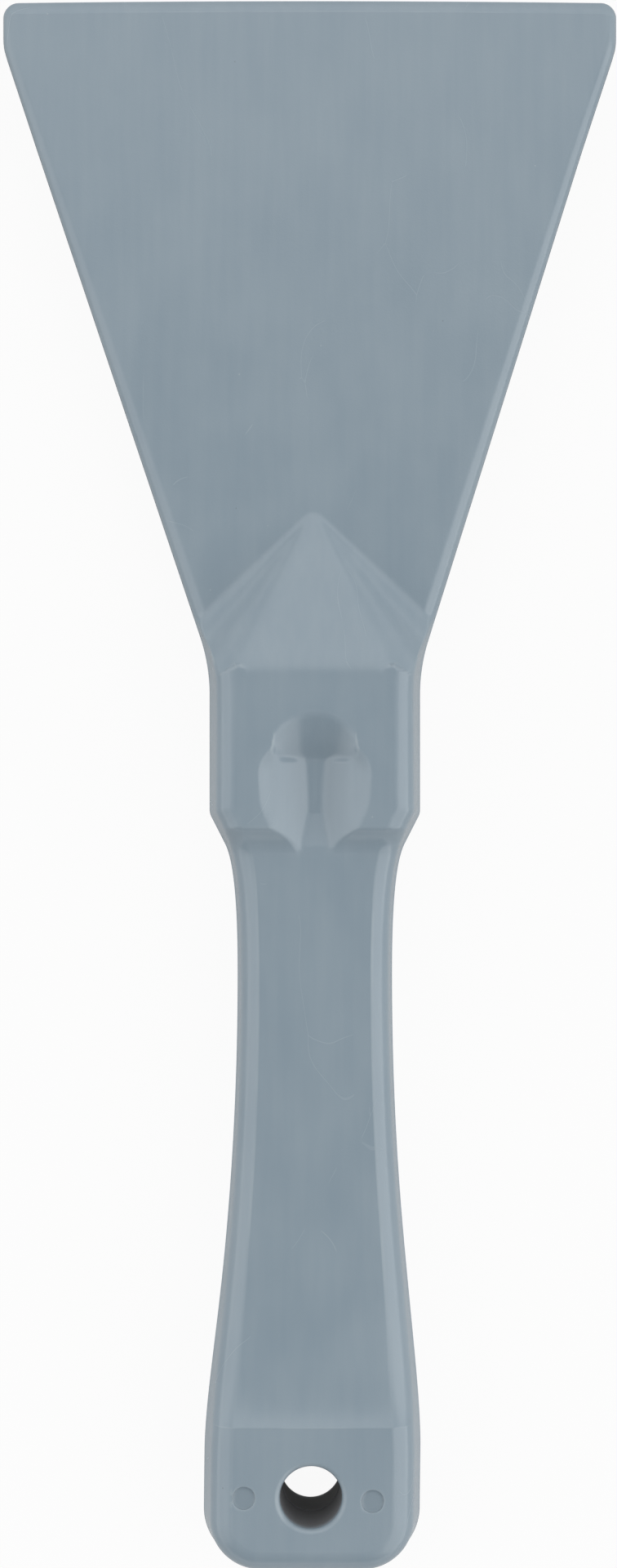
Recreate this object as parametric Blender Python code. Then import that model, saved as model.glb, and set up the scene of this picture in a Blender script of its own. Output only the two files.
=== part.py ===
# Moulded plastic hand scraper: blade, shoulder, thumb block, grip and butt pad in one piece.
#
# Metres. X runs across the blade, Y from the butt to the scraping edge, Z up out of the
# front face. The tool lies on its back, with its origin under the middle of its box.
# It was moulded in two halves that part at mid-thickness, so its back is its front
# mirrored, without the thumb scoop and the two ejector marks.
# "Station" is the distance from the scraping edge, measured back along the tool.

import math

import bmesh
import bpy
from mathutils import Matrix, Vector

# Lengths along the tool, each one from where the one before it ends
blade_free_length = 0.0853     # scraping edge to the point of the shoulder
shoulder_length = 0.0249       # point of the shoulder to the front of the block
block_length = 0.0269          # flat face that the thumb presses on
step_length = 0.0044           # slope from the block down to the grip
grip_length = 0.0830           # waist and palm
rise_length = 0.0095           # slope from the grip up to the butt pad
pad_length = 0.0250            # flat butt pad with the hang hole

# Widths across the tool
blade_width = 0.1016           # a four inch blade
block_width = 0.0349
waist_width = 0.0256           # narrowest part of the grip
pad_width = 0.0358

# Shape of the side outline
tip_corner_radius = 0.0025
side_land_length = 0.0076      # straight sides beside the scraping edge
side_land_blend = 0.010        # radius from those sides into the slanted ones
root_blend = 0.030             # radius from the slanted sides into the block
block_side_length = 0.0244     # block's front to where its sides turn in towards the grip
block_turn_radius = 0.0025
block_slant = math.radians(27)
block_slant_end = 0.0294       # block's front to where the slanted sides start to curve
narrow_setback = 0.0195        # step's foot to the narrowest part of the grip
slant_pull = 0.003             # pull of the curve from the slant to the narrowest part
narrow_pull = 0.011            # and its pull there
pad_leaving = 0.54             # pull of the curve from there to the pad, as shares of
pad_arriving = 0.18            # its length, at its start and at the pad
pad_side_lead = 0.0060         # pad's front to where its sides run straight
butt_corner_radius = 0.0095

# Thicknesses, over both halves
handle_thickness = 0.022       # block and butt pad, which share one resting plane
block_fall = 0.0014            # lost by the block over its curved rear part
block_flat_length = 0.010      # flat front part of the block's face
waist_setback = 0.0128         # step's foot to the thinnest part of the grip
waist_thickness = 0.0142
step_foot_thickness = 0.0150   # where the step runs out into the hollow of the waist
grip_end_thickness = 0.0187
grip_power = 3.2               # how late the palm thickens
rise_power = 2.6
blade_root_thickness = 0.0052
blade_front_thickness = 0.0033
scraping_edge_thickness = 0.0008
front_bevel_length = 0.0022
front_bevel_bulge = 0.6        # 0 is a flat bevel and 1 one that ends level with the blade

# Shoulder, a three-sided wedge between blade and block
foot_spread = 1.10             # half-width gained per length by its flanks' feet
foot_lead = 0.0010             # the feet start this far ahead of the shoulder's point
ridge_spread = 0.36            # half-width gained per length by the flanks' tops

# Edges, where the draft of the mould and a round meet the side outline
handle_draft = math.radians(9)
handle_edge_radius = 0.0036
blade_draft_inset = 0.0003
blade_edge_share = 0.9         # edge radius as a share of the blade's half-thickness
side_change_length = 0.0085    # where the blade's edges grow into the block's sides
ridge_round = 0.0004           # smoothing between the shoulder and the block, as a height

# Thumb groove, with an egg-shaped nose and a floor that climbs towards the grip
groove_setback = 0.0188        # block's front to the middle of the nose
groove_nose_radius = 0.0080
groove_nose_stretch = 1.39     # how much longer the nose is than round
groove_tail_radius = 0.0066
groove_depth = 0.0050          # at the nose
groove_climb = 0.0787          # height gained per length
groove_run = 0.0175            # from the nose's middle to the tail's

# Round dish that flares the groove's two sides
dish_setback = 0.0212          # block's front to the dish's middle
dish_radius = 0.011
dish_depth = 0.0040

# Hang hole, narrowest at the parting plane
hang_hole_diameter = 0.0096
hang_hole_draft = 0.00025      # radius gained from the parting plane to a face
hang_hole_rim = 0.0009         # round at each face
hang_hole_setback = 0.0136     # butt to the hole's centre

# Ejector marks
ejector_mark_diameter = 0.0037
ejector_mark_spacing = 0.0209
ejector_mark_depth = 0.0003

# Moulded plastic
plastic_colour = (0.22, 0.28, 0.33, 1)
plastic_roughness = 0.42

# Fineness of the model
interior_columns = 7
arc_steps = 5
turn_steps = 2
curve_steps = 10
round_steps = 3
bevel_rows = 3
blade_rows = 3
shoulder_rows = 20
shoulder_overrun = 0.0068      # how far back the flanks' tops run on the block
step_rows = 5
hollow_rows = 2
rise_rows = 4
least_row_gap = 0.00022
turned_segments = 40
nose_steps = 12
tail_steps = 6
cutter_clearance = 0.004
merge_distance = 1e-6
sharp_angle = math.radians(30)

# Places that follow from the lengths
shoulder_start = blade_free_length
block_start = shoulder_start + shoulder_length
block_end = block_start + block_length
grip_start = block_end + step_length
grip_end = grip_start + grip_length
pad_start = grip_end + rise_length
overall_length = pad_start + pad_length
waist_station = grip_start + waist_setback
narrow_station = grip_start + narrow_setback
half_thickness = handle_thickness / 2
round_turns = [math.pi / 2 * step / round_steps for step in range(1, round_steps + 1)]


def clear_scene():
    for old in list(bpy.data.objects):
        bpy.data.objects.remove(old, do_unlink=True)


def smooth_min(a, b, width):
    overlap = max(width - abs(a - b), 0.0) / width
    return min(a, b) - overlap * overlap * width / 4


def smooth_step(value, low, high):
    share = min(max((value - low) / (high - low), 0.0), 1.0)
    return share * share * (3 - 2 * share)


def arc(centre_station, centre_half_width, radius, start, end, steps):
    # Angles are measured from the outward direction towards the butt
    points = []
    for step in range(steps + 1):
        angle = start + (end - start) * step / steps
        station = centre_station + radius * math.sin(angle)
        points.append((station, centre_half_width + radius * math.cos(angle)))
    return points


def bezier(start, start_pull, end_pull, end, steps):
    # Outline points along a curve that leaves and arrives towards its two pull points
    stations = (start[0], start_pull[0], end_pull[0], end[0])
    half_widths = (start[1], start_pull[1], end_pull[1], end[1])
    points = []
    for step in range(steps + 1):
        t = step / steps
        weights = ((1 - t) ** 3, 3 * t * (1 - t) ** 2, 3 * t * t * (1 - t), t ** 3)
        points.append((sum(w * s for w, s in zip(weights, stations)),
                       sum(w * h for w, h in zip(weights, half_widths))))
    return points


def side_outline():
    # Half of the plan outline, as (station, half-width) from the scraping edge to the butt
    blade_half = blade_width / 2
    block_half = block_width / 2
    waist_half = waist_width / 2
    pad_half = pad_width / 2
    slant = math.atan2(blade_half - block_half, block_start - side_land_length)
    half_turn = math.tan(slant / 2)

    tip_corner = arc(tip_corner_radius, blade_half - tip_corner_radius, tip_corner_radius,
                     -math.pi / 2, 0, arc_steps)
    land_blend = arc(side_land_length - side_land_blend * half_turn, blade_half - side_land_blend,
                     side_land_blend, 0, slant, arc_steps - 2)
    root = arc(block_start + root_blend * half_turn, block_half + root_blend,
               -root_blend, slant, 0, arc_steps)
    turn_station = block_start + block_side_length
    block_turn = arc(turn_station - block_turn_radius * math.tan(block_slant / 2),
                     block_half - block_turn_radius, block_turn_radius, 0, block_slant, turn_steps)
    slant_station = block_start + block_slant_end
    slope = math.tan(block_slant)
    slant_half = block_half - (slant_station - turn_station) * slope
    into_waist = bezier((slant_station, slant_half),
                        (slant_station + slant_pull, slant_half - slant_pull * slope),
                        (narrow_station - narrow_pull, waist_half),
                        (narrow_station, waist_half), curve_steps)
    pad_side = pad_start + pad_side_lead
    length = pad_side - narrow_station
    into_pad = bezier((narrow_station, waist_half),
                      (narrow_station + pad_leaving * length, waist_half),
                      (pad_side - pad_arriving * length, pad_half),
                      (pad_side, pad_half), curve_steps)
    butt_corner = arc(overall_length - butt_corner_radius, pad_half - butt_corner_radius,
                      butt_corner_radius, 0, math.pi / 2, arc_steps + 3)
    return (tip_corner + land_blend + root + block_turn + into_waist + into_pad[1:]
            + butt_corner)


outline = side_outline()


def half_width(station):
    for (s0, w0), (s1, w1) in zip(outline, outline[1:]):
        if station <= s1:
            return w0 if s1 - s0 < 1e-9 else w0 + (w1 - w0) * (station - s0) / (s1 - s0)
    return outline[-1][1]


def blade_height(station):
    # Half-thickness of the blade, with the round bevel behind the scraping edge
    front = blade_front_thickness / 2
    if station < front_bevel_length:
        share = station / front_bevel_length
        edge = scraping_edge_thickness / 2
        return edge + (front - edge) * share * (1 + front_bevel_bulge * (1 - share))
    share = (station - front_bevel_length) / (block_start - front_bevel_length)
    return front + (blade_root_thickness / 2 - front) * min(share, 1.0)


def handle_height(station):
    # Half-thickness along the middle of the block, the grip and the pad
    waist = waist_thickness / 2
    grip_top = grip_end_thickness / 2
    if station > grip_end:
        climb = min((station - grip_end) / rise_length, 1.0)
        straight = grip_power * (grip_top - waist) / (grip_end - waist_station) * rise_length
        left = half_thickness - grip_top - straight
        return min(grip_top + straight * climb + left * climb ** rise_power, half_thickness)
    if station > waist_station:
        share = (station - waist_station) / (grip_end - waist_station)
        return waist + (grip_top - waist) * share ** grip_power
    ahead = (waist_station - station) / waist_setback
    hollow = waist + (step_foot_thickness / 2 - waist) * ahead ** 2
    if station > grip_start:
        return hollow
    curved = max(station - block_start - block_flat_length, 0.0)
    block = half_thickness - block_fall / 2 * (curved / (block_length - block_flat_length)) ** 2
    if station < block_end:
        return block
    up = (grip_start - station) / step_length
    return hollow + (block - hollow) * up ** 2


def shoulder_height(x, station):
    # Ramp between two flanks that are round at the top and hollow at the foot, all
    # fanning out from the shoulder's point
    run = station - shoulder_start
    level = blade_height(station)
    if run <= 0:
        return level
    foot = foot_spread * (run + foot_lead)
    top = ridge_spread * run
    share = min(max((foot - abs(x)) / (foot - top), 0.0), 1.0)
    share = 2 * share ** 2 if share < 0.5 else 1 - 2 * (1 - share) ** 2
    climb = (half_thickness - blade_root_thickness / 2) / shoulder_length * run
    return level + climb * share


def face_height(x, station):
    # Height of the faces above the parting plane, leaving out the side walls
    if station < block_end:
        raised = shoulder_height(x, station)
        return smooth_min(raised, handle_height(station), ridge_round)
    return handle_height(station)


def depth_inside(x, station):
    # Distance from the plan outline to a point inside it
    corner_station = overall_length - butt_corner_radius
    corner_half = pad_width / 2 - butt_corner_radius
    if station > corner_station and abs(x) > corner_half:
        return butt_corner_radius - math.hypot(abs(x) - corner_half, station - corner_station)
    return max(min(half_width(station) - abs(x), overall_length - station), 0.0)


def handle_share(station):
    # 0 along the blade's sides and 1 along the handle's
    return smooth_step(station, block_start - side_change_length, block_start)


def edge_sizes(station):
    # Draft inset and edge radius, which grow from the blade's to the handle's
    share = handle_share(station)
    blade_radius = blade_edge_share * blade_height(station)
    draft_inset = (handle_height(station) - handle_edge_radius) * math.tan(handle_draft)
    inset = blade_draft_inset + (draft_inset - blade_draft_inset) * share
    radius = blade_radius + (handle_edge_radius - blade_radius) * share
    return inset, radius


def surface_height(x, station):
    # Height of the outer surface above the parting plane
    face = face_height(x, station)
    inset, radius = edge_sizes(station)
    inside = depth_inside(x, station)
    if inside >= inset + radius:
        return face
    level = blade_height(station)
    full = level + (handle_height(station) - level) * handle_share(station)
    if inside < inset:
        wall = (full - radius) * inside / inset
    else:
        wall = full - radius + math.sqrt(max(radius ** 2 - (inset + radius - inside) ** 2, 0.0))
    return min(face, wall)


def spread(start, end, rows):
    return [start + (end - start) * row / rows for row in range(rows + 1)]


def stations():
    # Where the cross-sections stand: at each outline point, and closer where faces bend
    wanted = [station for station, width in outline]
    wanted += spread(0, front_bevel_length, bevel_rows)
    wanted += spread(front_bevel_length, shoulder_start, blade_rows)
    wanted += spread(shoulder_start, block_start + shoulder_overrun, shoulder_rows)
    wanted += [block_start, block_start + block_flat_length]
    wanted += spread(block_end, grip_start, step_rows)
    wanted += spread(grip_start, waist_station, hollow_rows)
    wanted += spread(grip_end, pad_start, rise_rows)
    draft_inset = edge_sizes(overall_length)[0]
    for turn in [0] + round_turns:
        wanted.append(overall_length - draft_inset - handle_edge_radius * (1 - math.cos(turn)))
    kept = []
    for station in sorted(wanted):
        if not kept or station - kept[-1] > least_row_gap:
            kept.append(station)
    kept[-1] = overall_length
    return kept


def across(station):
    # Half of the places across one cross-section, from the outline to the middle
    inset, radius = edge_sizes(station)
    width = half_width(station)
    places = [width, width - inset / 2, width - inset]
    for turn in round_turns:
        places.append(width - inset - radius * (1 - math.cos(turn)))
    inner = places[-1]
    for column in range(1, interior_columns + 1):
        places.append(inner * (1 - column / interior_columns))
    return places


def moulding_mesh():
    # Two height surfaces, front and back, that share the parting line
    mesh = bmesh.new()
    tip = overall_length / 2
    front, back = [], []
    for station in stations():
        half = across(station)
        places = half + [-x for x in reversed(half[:-1])]
        upper_row, lower_row = [], []
        for index, x in enumerate(places):
            on_outline = index in (0, len(places) - 1) or station == overall_length
            height = 0.0 if on_outline else surface_height(x, station)
            upper = mesh.verts.new((x, tip - station, half_thickness + height))
            upper_row.append(upper)
            if on_outline:
                lower_row.append(upper)
            else:
                lower_row.append(mesh.verts.new((x, tip - station, half_thickness - height)))
        front.append(upper_row)
        back.append(lower_row)

    for rows, outward in ((front, 1), (back, -1)):
        for near, far in zip(rows, rows[1:]):
            for index in range(len(near) - 1):
                corners = [near[index], near[index + 1], far[index + 1], far[index]]
                mesh.faces.new(corners[::outward])
    for index in range(len(front[0]) - 1):
        corners = [front[0][index], back[0][index], back[0][index + 1], front[0][index + 1]]
        mesh.faces.new(list(dict.fromkeys(corners)))
    bmesh.ops.recalc_face_normals(mesh, faces=mesh.faces)
    return mesh


def turned_mesh(profile, segments):
    # Solid of revolution about local Z from (radius, height) points that start and end on it
    mesh = bmesh.new()
    verts = [mesh.verts.new((radius, 0, height)) for radius, height in profile]
    edges = [mesh.edges.new(pair) for pair in zip(verts, verts[1:])]
    bmesh.ops.spin(mesh, geom=verts + edges, axis=(0, 0, 1), cent=(0, 0, 0),
                   angle=math.tau, steps=segments, use_duplicate=False)
    bmesh.ops.remove_doubles(mesh, verts=mesh.verts, dist=merge_distance)
    bmesh.ops.recalc_face_normals(mesh, faces=mesh.faces)
    return mesh


def add_object(name, mesh):
    data = bpy.data.meshes.new(name)
    mesh.to_mesh(data)
    mesh.free()
    item = bpy.data.objects.new(name, data)
    bpy.context.collection.objects.link(item)
    return item


def add_cutter(name, mesh, body):
    cutter = add_object(name, mesh)
    cutter.hide_render = True
    cutter.display_type = "WIRE"
    cut = body.modifiers.new(name, "BOOLEAN")
    cut.operation = "DIFFERENCE"
    cut.solver = "EXACT"
    cut.object = cutter
    return cutter


def cut_thumb_groove(body):
    # A tapered bar with round ends, laid so that its lowest line climbs towards the grip
    floor = handle_thickness - groove_depth
    nose_station = block_start + groove_setback
    nose = Vector((0, overall_length / 2 - nose_station, floor + groove_nose_radius))
    tail = Vector((0, nose.y - groove_run, floor + groove_climb * groove_run + groove_tail_radius))
    length = (tail - nose).length
    profile = []
    for step in range(nose_steps + 1):
        angle = math.pi / 2 * step / nose_steps
        along = -groove_nose_stretch * groove_nose_radius * math.cos(angle)
        profile.append((groove_nose_radius * math.sin(angle), along))
    for step in range(tail_steps + 1):
        angle = math.pi / 2 * step / tail_steps
        profile.append((groove_tail_radius * math.cos(angle),
                        length + groove_tail_radius * math.sin(angle)))
    cutter = add_cutter("thumb_groove_cutter", turned_mesh(profile, turned_segments), body)
    turn = (tail - nose).to_track_quat("Z", "Y").to_matrix().to_4x4()
    cutter.matrix_world = Matrix.Translation(nose) @ turn


def cut_thumb_dish(body):
    profile = []
    for step in range(2 * nose_steps + 1):
        angle = math.pi * step / (2 * nose_steps)
        profile.append((dish_radius * math.sin(angle), -dish_radius * math.cos(angle)))
    cutter = add_cutter("thumb_dish_cutter", turned_mesh(profile, turned_segments), body)
    cutter.location = (0, overall_length / 2 - block_start - dish_setback,
                       handle_thickness - dish_depth + dish_radius)


def cut_hang_hole(body):
    # Two drafted halves that are narrowest at the parting plane, with round rims
    narrow = hang_hole_diameter / 2
    at_face = narrow + hang_hole_draft
    rim = hang_hole_rim
    top = half_thickness + cutter_clearance
    half = [(narrow, 0.0), (at_face, half_thickness - rim)]
    for turn in round_turns:
        half.append((at_face + rim * (1 - math.cos(turn)),
                     half_thickness - rim * (1 - math.sin(turn))))
    half += [(at_face + rim, top), (0.0, top)]
    profile = [(radius, -height) for radius, height in reversed(half)] + half[1:]
    cutter = add_cutter("hang_hole_cutter", turned_mesh(profile, turned_segments), body)
    cutter.location = (0, hang_hole_setback - overall_length / 2, half_thickness)


def cut_ejector_marks(body):
    radius = ejector_mark_diameter / 2
    profile = [(0.0, -ejector_mark_depth), (radius, -ejector_mark_depth),
               (radius, cutter_clearance), (0.0, cutter_clearance)]
    for side, name in ((-1, "left"), (1, "right")):
        mesh = turned_mesh(profile, turned_segments // 2)
        cutter = add_cutter(name + "_ejector_mark_cutter", mesh, body)
        cutter.location = (side * ejector_mark_spacing / 2, hang_hole_setback - overall_length / 2,
                           handle_thickness)


def plastic():
    material = bpy.data.materials.new("grey_blue_plastic")
    material.use_nodes = True
    shader = material.node_tree.nodes["Principled BSDF"]
    shader.inputs["Base Color"].default_value = plastic_colour
    shader.inputs["Roughness"].default_value = plastic_roughness
    shader.inputs["Metallic"].default_value = 0.0
    return material


def build():
    clear_scene()
    body = add_object("scraper_moulding", moulding_mesh())
    body.data.materials.append(plastic())
    body.data.shade_smooth()
    body.data.set_sharp_from_angle(angle=sharp_angle)
    cut_thumb_dish(body)
    cut_thumb_groove(body)
    cut_hang_hole(body)
    cut_ejector_marks(body)


build()
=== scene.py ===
import math
from bisect import bisect_right

import bmesh
import bpy
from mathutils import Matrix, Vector


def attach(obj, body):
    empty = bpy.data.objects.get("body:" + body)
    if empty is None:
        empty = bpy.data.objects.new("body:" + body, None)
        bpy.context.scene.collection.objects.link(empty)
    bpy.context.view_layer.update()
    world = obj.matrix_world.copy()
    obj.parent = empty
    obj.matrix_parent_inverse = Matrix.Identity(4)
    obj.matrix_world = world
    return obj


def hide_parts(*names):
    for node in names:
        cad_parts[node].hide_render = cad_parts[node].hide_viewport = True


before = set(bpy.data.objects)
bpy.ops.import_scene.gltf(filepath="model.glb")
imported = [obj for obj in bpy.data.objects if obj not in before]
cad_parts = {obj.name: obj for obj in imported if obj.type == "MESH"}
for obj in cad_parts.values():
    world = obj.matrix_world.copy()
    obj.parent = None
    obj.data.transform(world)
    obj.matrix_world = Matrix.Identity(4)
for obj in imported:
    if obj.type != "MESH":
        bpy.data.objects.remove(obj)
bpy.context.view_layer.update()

# One-piece moulded plastic hand scraper, seen from straight above its front face.
# Sizes are in millimetres. A station is the distance from the scraping edge, back along
# the tool. A height is the distance from the plane where the two halves of the mould part.
mm = 0.001
samePlace = 1e-6              # points closer than this, in mm, are one


# small helpers for shapes

def smoothMin(a, b, width):
    overlap = max(width - abs(a - b), 0.0) / width
    return min(a, b) - overlap * overlap * width / 4


def smoothMax(a, b, width):
    return -smoothMin(-a, -b, width)


def smoothStep(value, low, high):
    share = min(max((value - low) / (high - low), 0.0), 1.0)
    return share * share * (3 - 2 * share)


def mix(a, b, share):
    return a + (b - a) * share


# lengths along the tool

lengths = {
    "blade": 85.3,       # scraping edge to the point of the shoulder
    "shoulder": 24.9,
    "block": 26.9,
    "step": 4.4,
    "grip": 83.0,
    "rise": 9.5,
    "pad": 25.0,
}
shoulderStart = lengths["blade"]
blockStart = shoulderStart + lengths["shoulder"]
blockEnd = blockStart + lengths["block"]
gripStart = blockEnd + lengths["step"]
gripEnd = gripStart + lengths["grip"]
padStart = gripEnd + lengths["rise"]
toolLength = padStart + lengths["pad"]

# plan outline

outlineSizes = {
    "bladeWidth": 101.6,
    "tipCorner": 2.5,
    "tipCrown": 0.35,         # the ends of the scraping edge lie this far back
    "landLength": 7.6,        # straight sides beside the scraping edge
    "landBlend": 10.0,
    "blockWidth": 34.9,
    "rootBlend": 30.0,        # radius from the blade's sides into the block's
    "blockSide": 24.4,        # where the block's sides turn in towards the grip
    "blockTurn": 2.5,         # radius of that turn
    "blockSlant": 27.0,       # its angle, in degrees
    "slantEnd": 29.4,
    "slantPull": 3.0,
    "waistPull": 11.0,
    "waistWidth": 25.6,
    "waistSetback": 12.8,     # from the foot of the step to the thinnest place
    "narrowSetback": 19.5,    # from there to the narrowest place
    "padWidth": 35.8,
    "padLead": 6.0,           # pad's front to where its sides run straight
    "padPull": (0.54, 0.18),
    "buttCorner": 9.5,
}
waistStation = gripStart + outlineSizes["waistSetback"]
narrowStation = gripStart + outlineSizes["narrowSetback"]

bow = {                       # the real moulding isn't quite straight
    "handle": 0.85,           # its grip lies this far to the right
    "butt": 0.30,
    "starts": 25.0,
    "full": 106.0,
    "falls": 205.0,
}


def bowAt(station):
    grown = min(max((station - bow["starts"]) / (bow["full"] - bow["starts"]), 0.0), 1.0)
    fallen = smoothStep(station, bow["falls"], toolLength)
    return bow["handle"] * grown + (bow["butt"] - bow["handle"]) * fallen


def arcPoints(station, x, radius, start, end, steps=120):
    # angles run from straight outward towards the butt
    points = []
    for step in range(steps + 1):
        angle = mix(start, end, step / steps)
        points.append((station + radius * math.sin(angle), x + radius * math.cos(angle)))
    return points


def fourPointCurve(start, startPull, endPull, end, steps=240):
    stations = (start[0], startPull[0], endPull[0], end[0])
    xs = (start[1], startPull[1], endPull[1], end[1])
    points = []
    for step in range(steps + 1):
        t = step / steps
        weights = ((1 - t) ** 3, 3 * t * (1 - t) ** 2, 3 * t * t * (1 - t), t ** 3)
        points.append((sum(w * s for w, s in zip(weights, stations)),
                       sum(w * x for w, x in zip(weights, xs))))
    return points


def halfOutline():
    # from the middle of the scraping edge round to the middle of the butt
    sizes = outlineSizes
    bladeHalf = sizes["bladeWidth"] / 2
    blockHalf = sizes["blockWidth"] / 2
    waistHalf = sizes["waistWidth"] / 2
    padHalf = sizes["padWidth"] / 2
    slant = math.atan2(bladeHalf - blockHalf, blockStart - sizes["landLength"])
    halfTurn = math.tan(slant / 2)
    tip, land, root = sizes["tipCorner"], sizes["landBlend"], sizes["rootBlend"]
    butt = sizes["buttCorner"]
    points = [(0.0, 0.0)]
    points += arcPoints(tip, bladeHalf - tip, tip, -math.pi / 2, 0)
    points += arcPoints(sizes["landLength"] - land * halfTurn, bladeHalf - land, land, 0, slant)
    points += arcPoints(blockStart + root * halfTurn, blockHalf + root, -root, slant, 0)
    turn = sizes["blockTurn"]
    slope = math.radians(sizes["blockSlant"])
    corner = blockStart + sizes["blockSide"]
    points += arcPoints(corner - turn * math.tan(slope / 2), blockHalf - turn, turn, 0, slope)
    slantEnd = blockStart + sizes["slantEnd"]
    slantX = blockHalf - (slantEnd - corner) * math.tan(slope)
    pulled = sizes["slantPull"]
    points += fourPointCurve((slantEnd, slantX),
                             (slantEnd + pulled, slantX - pulled * math.tan(slope)),
                             (narrowStation - sizes["waistPull"], waistHalf),
                             (narrowStation, waistHalf))
    # the grip's side leaves the waist and reaches the pad parallel to the tool
    padFront = padStart + sizes["padLead"]
    near, far = [pull * (padFront - narrowStation) for pull in sizes["padPull"]]
    points += fourPointCurve((narrowStation, waistHalf), (narrowStation + near, waistHalf),
                             (padFront - far, padHalf), (padFront, padHalf))
    points += arcPoints(toolLength - butt, padHalf - butt, butt, 0, math.pi / 2)
    points.append((toolLength, 0.0))
    kept = [points[0]]
    for point in points[1:]:
        if math.dist(point, kept[-1]) > samePlace:
            kept.append(point)
    return kept


outline = halfOutline()
travelled = [0.0]
for here, there in zip(outline, outline[1:]):
    travelled.append(travelled[-1] + math.dist(here, there))


def indexBelow(values, value):
    # of the stretch between two sorted values that holds this one
    return min(max(bisect_right(values, value) - 1, 0), len(values) - 2)


def along(distance):
    index = indexBelow(travelled, distance)
    share = (distance - travelled[index]) / (travelled[index + 1] - travelled[index])
    (s0, x0), (s1, x1) = outline[index], outline[index + 1]
    return mix(s0, s1, share), mix(x0, x1, share)


def rimPoint(distance, reach=0.2):
    # (station, x) on the outline and the inward direction there
    station, x = along(distance)
    s0, x0 = along(max(distance - reach, 0.0))
    s1, x1 = along(min(distance + reach, travelled[-1]))
    length = math.hypot(s1 - s0, x1 - x0)
    return station, x, (x1 - x0) / length, -(s1 - s0) / length


outlineStations = [station for station, x in outline]


def distanceAt(station):
    # the outline never turns back, so a station has one place on each side
    index = indexBelow(outlineStations, station)
    s0, s1 = outlineStations[index], outlineStations[index + 1]
    share = (station - s0) / (s1 - s0) if s1 > s0 else 0.0
    return mix(travelled[index], travelled[index + 1], share)


# heights of the faces

bladeSizes = {
    "edge": 0.8,              # thickness where it scrapes
    "front": 3.3,             # behind the bevel
    "root": 5.2,
    "bevel": 2.2,             # length of the bevel
    "bevelBulge": 0.6,
    "noseLength": 0.16,       # round of the scraping edge itself
    "noseHeight": 0.9,        # its height, as a share of half the edge's thickness
    "sideRound": 0.9,         # side rounds, as a share of the half-thickness
    "sideInset": 0.3,
}
shoulderSizes = {
    "footSpread": 1.10,       # half-width gained per length by the flanks' feet
    "footLead": 1.0,          # the feet start this far ahead of the ramp's point
    "ridgeSpread": 0.36,      # the same for the flanks' tops
    "topRound": 0.6,          # where the ramp rolls over into the block's face
    "cornerRound": 0.9,       # where the flanks meet the block's sides, full from this share
    "cornerGrown": 0.5,       # of the change from the blade's sides to the block's
    "cutStart": 12.8,         # the block's front corners are cut off outside this half-width
    "cutFade": (2.0, 0.5),    # the cut fades in from this far inside that to this far outside
    "cutSlant": 0.55,
    "cutRise": 2.0,           # height and length of the short steep face at the cut
    "cutLength": 0.7,
}
handleSizes = {
    "thickness": 22.0,
    "blockFall": 1.4,         # thickness lost by the block over its curved rear part
    "blockFlat": 10.0,
    "waist": 14.0,
    "stepFoot": 14.9,         # thickness where the step runs out into the waist
    "gripEnd": 18.4,
    "gripPower": 3.2,         # how late the palm thickens
    "risePower": 2.6,
    "crownRadius": 250.0,     # of the grip's face, across the tool
    "crownInset": 4.0,        # its edges lie this far in from the outline
    "stepRound": 0.6,         # where the block's face rolls over into the step,
    "stepRoundFrom": 2.0,     # from this far ahead of the block's end
    "stepRoundTo": 0.5,       # to this share of the step's length behind it
    "draft": 9.0,             # of the side walls, in degrees
    "sideChange": 8.5,        # where the blade's sides grow into the block's
    "seamHalf": 0.07,         # fine raised seam where the mould parts
    "seamOut": 0.06,
}
halfThick = handleSizes["thickness"] / 2


def bladeHeight(station):
    share = (station - bladeSizes["bevel"]) / (blockStart - bladeSizes["bevel"])
    return mix(bladeSizes["front"], bladeSizes["root"], min(max(share, 0.0), 1.0)) / 2


# rounds between the side walls and the faces: (station, radius, slope where they meet the face)
edgeRounds = [(blockStart, 3.4, 1.0), (blockEnd, 3.4, 3.0), (waistStation, 4.0, 13.0),
              (waistStation + 45, 4.2, 13.0), (padStart, 4.2, 6.0), (toolLength, 4.0, 3.0)]


def edgeRoundAt(station):
    for (s0, r0, a0), (s1, r1, a1) in zip(edgeRounds, edgeRounds[1:]):
        if station < s1:
            share = smoothStep(station, s0, s1)
            return mix(r0, r1, share), math.radians(mix(a0, a1, share))
    return edgeRounds[-1][1], math.radians(edgeRounds[-1][2])


def hollowHeight(station):
    # the step runs out into a long hollow towards the waist
    waist, foot = handleSizes["waist"] / 2, handleSizes["stepFoot"] / 2
    return waist + (foot - waist) * ((waistStation - station) / (waistStation - gripStart)) ** 2


def handleHeight(station):
    # half-thickness along the middle of the block, the grip and the pad
    sizes = handleSizes
    waist = sizes["waist"] / 2
    gripTop = sizes["gripEnd"] / 2
    fall = sizes["blockFall"] / 2
    power = sizes["gripPower"]
    gripSlope = power * (gripTop - waist) / (gripEnd - waistStation)
    if station > gripEnd:
        climb = min((station - gripEnd) / lengths["rise"], 1.0)
        straight = gripSlope * lengths["rise"]
        rest = halfThick - gripTop - straight
        return gripTop + straight * climb + rest * climb ** sizes["risePower"]
    if station > waistStation:
        share = (station - waistStation) / (gripEnd - waistStation)
        return waist + (gripTop - waist) * share ** power
    curved = max(station - blockStart - sizes["blockFlat"], 0.0)
    block = halfThick - fall * (curved / (lengths["block"] - sizes["blockFlat"])) ** 2
    if station < blockEnd - sizes["stepRoundFrom"]:
        return block
    down = (station - blockEnd) / lengths["step"]
    drop = halfThick - fall - hollowHeight(blockEnd)
    step = hollowHeight(station) + drop * max(1 - down, 0.0) ** 2
    if down < sizes["stepRoundTo"]:
        return smoothMin(block, step, sizes["stepRound"])
    return step


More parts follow.
